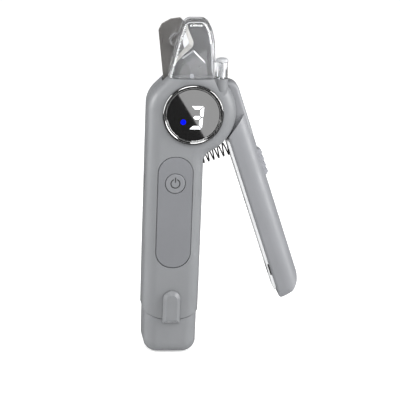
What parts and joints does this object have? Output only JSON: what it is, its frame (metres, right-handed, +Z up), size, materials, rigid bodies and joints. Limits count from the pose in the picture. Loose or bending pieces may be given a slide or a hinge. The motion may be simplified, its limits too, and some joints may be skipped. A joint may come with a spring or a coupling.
{
  "type": "cordless pet nail clipper with grinder",
  "caption": "Hand-held pet nail clipper: squeeze lever with return spring, lit head with clear cover, round count display, and a motor-driven grinding drum under a pull-off cap.",
  "frame": {"origin": "middle of the flat base of the bottom cap", "axes": "+Z up the body, front faces -Y, squeeze lever on the +X side"},
  "size_m": [0.0853, 0.0308, 0.185],
  "materials": {
    "shell_grey": "satin",
    "panel_grey": "satin",
    "lever_grey": "satin",
    "lever_light": "satin",
    "bright_chrome": "polished",
    "black_glass": "gloss",
    "lit_white": "lit",
    "lit_blue": "lit",
    "clear_plastic": "clear",
    "frosted_plastic": "frosted",
    "blade_steel": "ground",
    "plain_steel": "plated",
    "spring_black": "black",
    "bronze": "sintered",
    "dark_rubber": "matt",
    "grip_grey": "matt",
    "board_green": "solder mask",
    "chip_black": "moulded",
    "battery_wrap": "shrink sleeve",
    "abrasive": "fine grit",
    "black_plastic": "moulded"
  },
  "bodies": {
    "housing": {"front_shell": "shell_grey", "rear_shell": "shell_grey", "shell_screws": "plain_steel", "control_panel": "panel_grey", "button_switch": "chip_black", "main_board": "board_green", "board_chips": "chip_black", "battery": "battery_wrap", "charge_port": "plain_steel", "charge_board": "board_green", "display_bezel": "bright_chrome", "display_glass": "black_glass", "lit_digit": "lit_white", "status_dot": "lit_blue", "display_carrier": "black_plastic", "display_board": "board_green", "motor_mount": "black_plastic", "motor": "plain_steel", "lamp_pod": "shell_grey", "lamp_lens": "frosted_plastic", "lamp_board": "board_green", "fixed_blade": "blade_steel", "blade_holder": "plain_steel", "holder_screws": "plain_steel", "nail_stop": "shell_grey", "pivot_pin": "plain_steel", "pivot_washers": "plain_steel", "spring": "spring_black", "hinge_pin": "plain_steel", "hinge_cap": "frosted_plastic", "head_lamp": "lit_white"},
    "lever": {"lever_shell": "lever_grey", "lever_cover": "lever_light", "lever_screws": "plain_steel", "bump_stop": "dark_rubber", "lever_arm": "plain_steel", "grip_pad": "grip_grey", "moving_blade": "blade_steel", "blade_rivets": "plain_steel", "pivot_bush": "bronze"},
    "cover": {"splash_cover": "clear_plastic"},
    "button": {"power_button": "panel_grey"},
    "cap": {"bottom_cap": "shell_grey"},
    "grinder": {"motor_shaft": "plain_steel", "drum_hub": "black_plastic", "grinding_drum": "abrasive", "drum_screw": "plain_steel"}
  },
  "joints": [
    {"name": "lever_pivot", "type": "hinge", "parent": "housing", "child": "lever", "pos_m": [0.0083, 0, 0.1343], "axis": [0, 1, 0], "range_deg": [0, 18], "stiffness_Nm_per_rad": 0.9, "springref_deg": -6.88, "deforming": ["spring"]},
    {"name": "cover_swing", "type": "hinge", "parent": "housing", "child": "cover", "pos_m": [0.0234, -0.0085, 0.1536], "axis": [0, 0, 1], "range_deg": [0, 110]},
    {"name": "power_button_press", "type": "slide", "parent": "housing", "child": "button", "axis": [0, 1, 0], "range_m": [0, 0.0005], "stiffness_N_per_m": 600, "springref_m": -0.0005},
    {"name": "bottom_cap_pull", "type": "slide", "parent": "housing", "child": "cap", "axis": [0, 0, -1], "range_m": [0, 0.032]},
    {"name": "grinder_spin", "type": "hinge", "parent": "housing", "child": "grinder", "pos_m": [0, 0, 0.0108], "axis": [0, 0, 1], "continuous": true}
  ]
}
